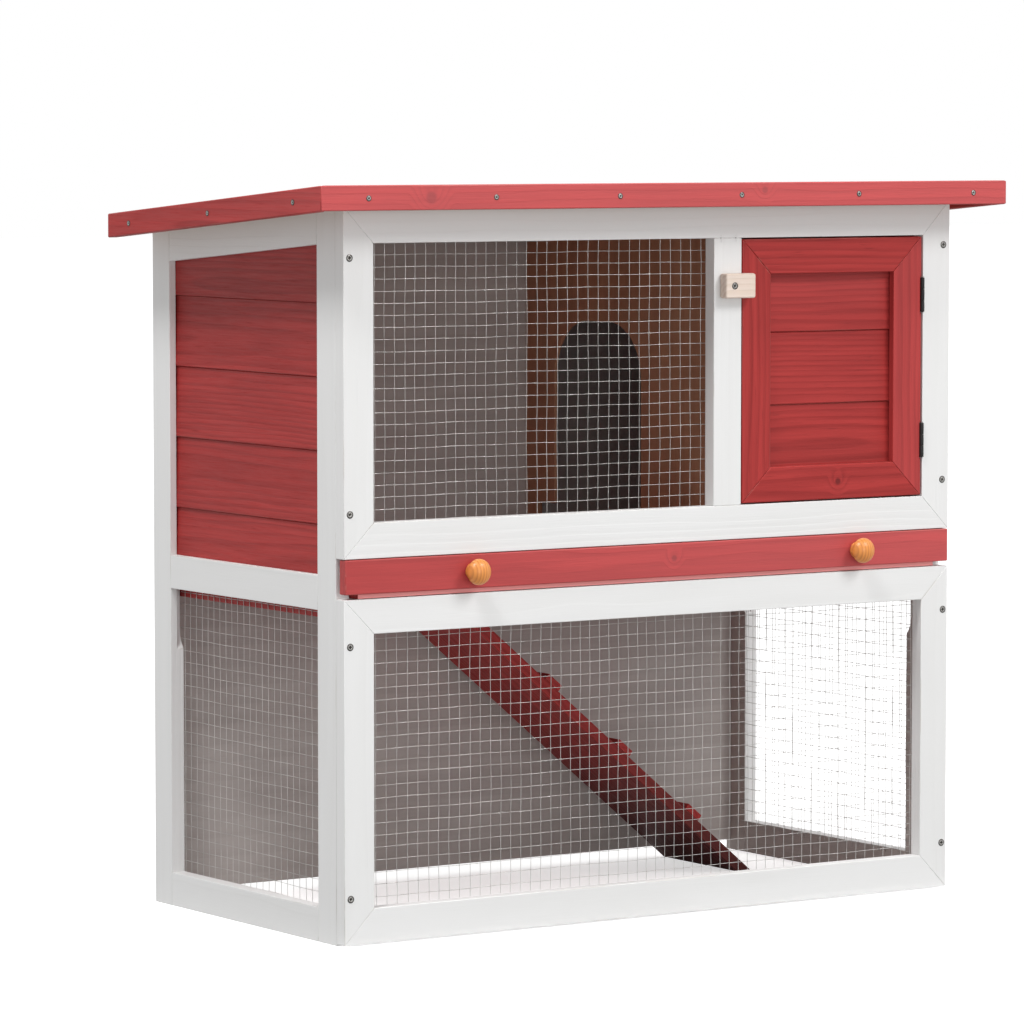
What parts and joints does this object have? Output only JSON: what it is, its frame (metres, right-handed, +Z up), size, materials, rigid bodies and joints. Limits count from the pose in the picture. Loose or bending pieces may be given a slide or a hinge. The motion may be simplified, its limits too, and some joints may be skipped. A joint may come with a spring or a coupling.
{
  "type": "rabbit hutch",
  "caption": "Two-storey wooden pet hutch: wire-fronted living floor with a doored nest box, slide-out floor tray, lift-up sloping roof, ramp and wire run below.",
  "frame": {"origin": "on the ground, under the middle of the roof's outline", "axes": "+X to the right along the long front, +Y from the front to the back, +Z up"},
  "size_m": [0.9, 0.45, 0.8],
  "materials": {
    "red_stain": "red woodstain, satin",
    "white_paint": "white wood paint, satin",
    "brown_ply": "brown stained plywood, matt",
    "taupe_panel": "grey-brown stained board, matt",
    "pine_board": "bare pine, matt",
    "button_wood": "pale bare wood, satin",
    "knob_varnish": "orange varnished wood, gloss",
    "roof_felt": "mineral roofing felt, rough",
    "galvanised_wire": "galvanised",
    "black_steel": "black, satin",
    "zinc_steel": "zinc plated"
  },
  "bodies": {
    "hutch": {"upper_front_bottom_rail": "white_paint", "upper_front_top_rail": "white_paint", "upper_front_left_stile": "white_paint", "upper_front_right_stile": "white_paint", "upper_front_mullion": "white_paint", "lower_front_bottom_rail": "white_paint", "lower_front_top_rail": "white_paint", "lower_front_left_stile": "white_paint", "lower_front_right_stile": "white_paint", "left_front_post": "white_paint", "left_rear_post": "white_paint", "left_top_rail": "white_paint", "left_mid_rail": "white_paint", "left_bottom_rail": "white_paint", "right_front_post": "white_paint", "right_rear_post": "white_paint", "right_top_rail": "white_paint", "right_mid_rail": "white_paint", "right_bottom_rail": "white_paint", "left_cladding_boards": "red_stain", "right_cladding_boards": "red_stain", "back_panel": "taupe_panel", "back_top_rail": "white_paint", "divider_panel": "brown_ply", "divider_batten": "brown_ply", "ramp_bearer": "red_stain", "ramp_plank": "red_stain", "ramp_cleats": "red_stain", "tray_ledgers": "red_stain", "upper_front_mesh": "galvanised_wire", "lower_front_mesh": "galvanised_wire", "left_side_mesh": "galvanised_wire", "right_side_mesh": "galvanised_wire", "door_hinge_frame_leaves": "black_steel", "door_hinge_pins": "black_steel", "turn_button_screw": "zinc_steel", "roof_hinge_wall_leaves": "zinc_steel", "roof_hinge_pins": "zinc_steel", "frame_screws": "zinc_steel", "joint_staples": "zinc_steel"},
    "door": {"door_bottom_rail": "red_stain", "door_top_rail": "red_stain", "door_left_stile": "red_stain", "door_right_stile": "red_stain", "door_boards": "red_stain", "door_hinge_door_leaves": "black_steel"},
    "turn_button": {"turn_button": "button_wood"},
    "tray": {"tray_base": "red_stain", "tray_front_board": "red_stain", "tray_left_side": "red_stain", "tray_right_side": "red_stain", "tray_back_boards": "red_stain", "tray_knobs": "knob_varnish"},
    "roof": {"roof_front_fascia": "red_stain", "roof_left_fascia": "red_stain", "roof_right_fascia": "red_stain", "roof_felt": "roof_felt", "roof_deck": "pine_board", "fascia_nails": "zinc_steel", "roof_hinge_lid_leaves": "zinc_steel"}
  },
  "joints": [
    {"name": "door_hinge", "type": "hinge", "parent": "hutch", "child": "door", "pos_m": [0.36115, -0.1873, 0.592], "axis": [0, 0, 1], "range_deg": [0, 135]},
    {"name": "turn_button_pivot", "type": "hinge", "parent": "hutch", "child": "turn_button", "pos_m": [0.0938, -0.193, 0.687], "axis": [0, -1, 0], "range_deg": [0, 90]},
    {"name": "tray_slide", "type": "slide", "parent": "hutch", "child": "tray", "axis": [0, -1, 0], "range_m": [0, 0.36]},
    {"name": "roof_hinge", "type": "hinge", "parent": "hutch", "child": "roof", "pos_m": [0, 0.2183, 0.748], "axis": [-1, 0, 0], "range_deg": [0, 75]}
  ]
}
